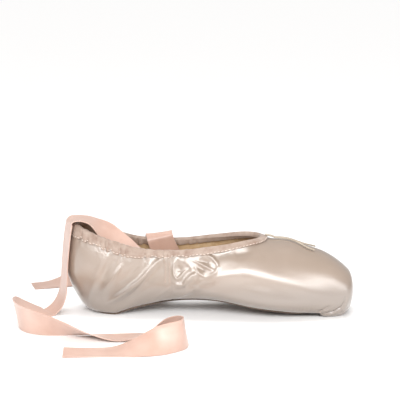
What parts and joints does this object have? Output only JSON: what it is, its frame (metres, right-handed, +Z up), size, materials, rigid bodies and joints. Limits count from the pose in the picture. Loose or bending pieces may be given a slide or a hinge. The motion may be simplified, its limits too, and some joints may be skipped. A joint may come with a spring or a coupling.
{
  "type": "pointe shoe",
  "caption": "Satin pointe ballet shoe with a hard flat toe box, open collar with a drawstring and untied ankle ribbons lying on the floor.",
  "frame": {"origin": "middle of the shoe's length and width, on the floor; ribbons and drawstring ends left out", "axes": "+X towards the toe, +Z up, +Y to the side that faces away from the camera"},
  "size_m": [0.2793, 0.2596, 0.0788],
  "materials": {
    "sole_leather": "worn suede leather",
    "satin": "champagne pink satin",
    "insole_board": "tan sock lining",
    "binding_tape": "pink tape",
    "cotton_cord": "matt cotton",
    "ribbon_satin": "peach pink satin"
  },
  "bodies": {
    "root": {"outsole": "sole_leather", "upper": "satin", "insole": "insole_board", "binding": "binding_tape", "drawstring_left": "cotton_cord", "drawstring_right": "cotton_cord", "ribbon_near": "ribbon_satin", "ribbon_far": "ribbon_satin"}
  },
  "joints": []
}
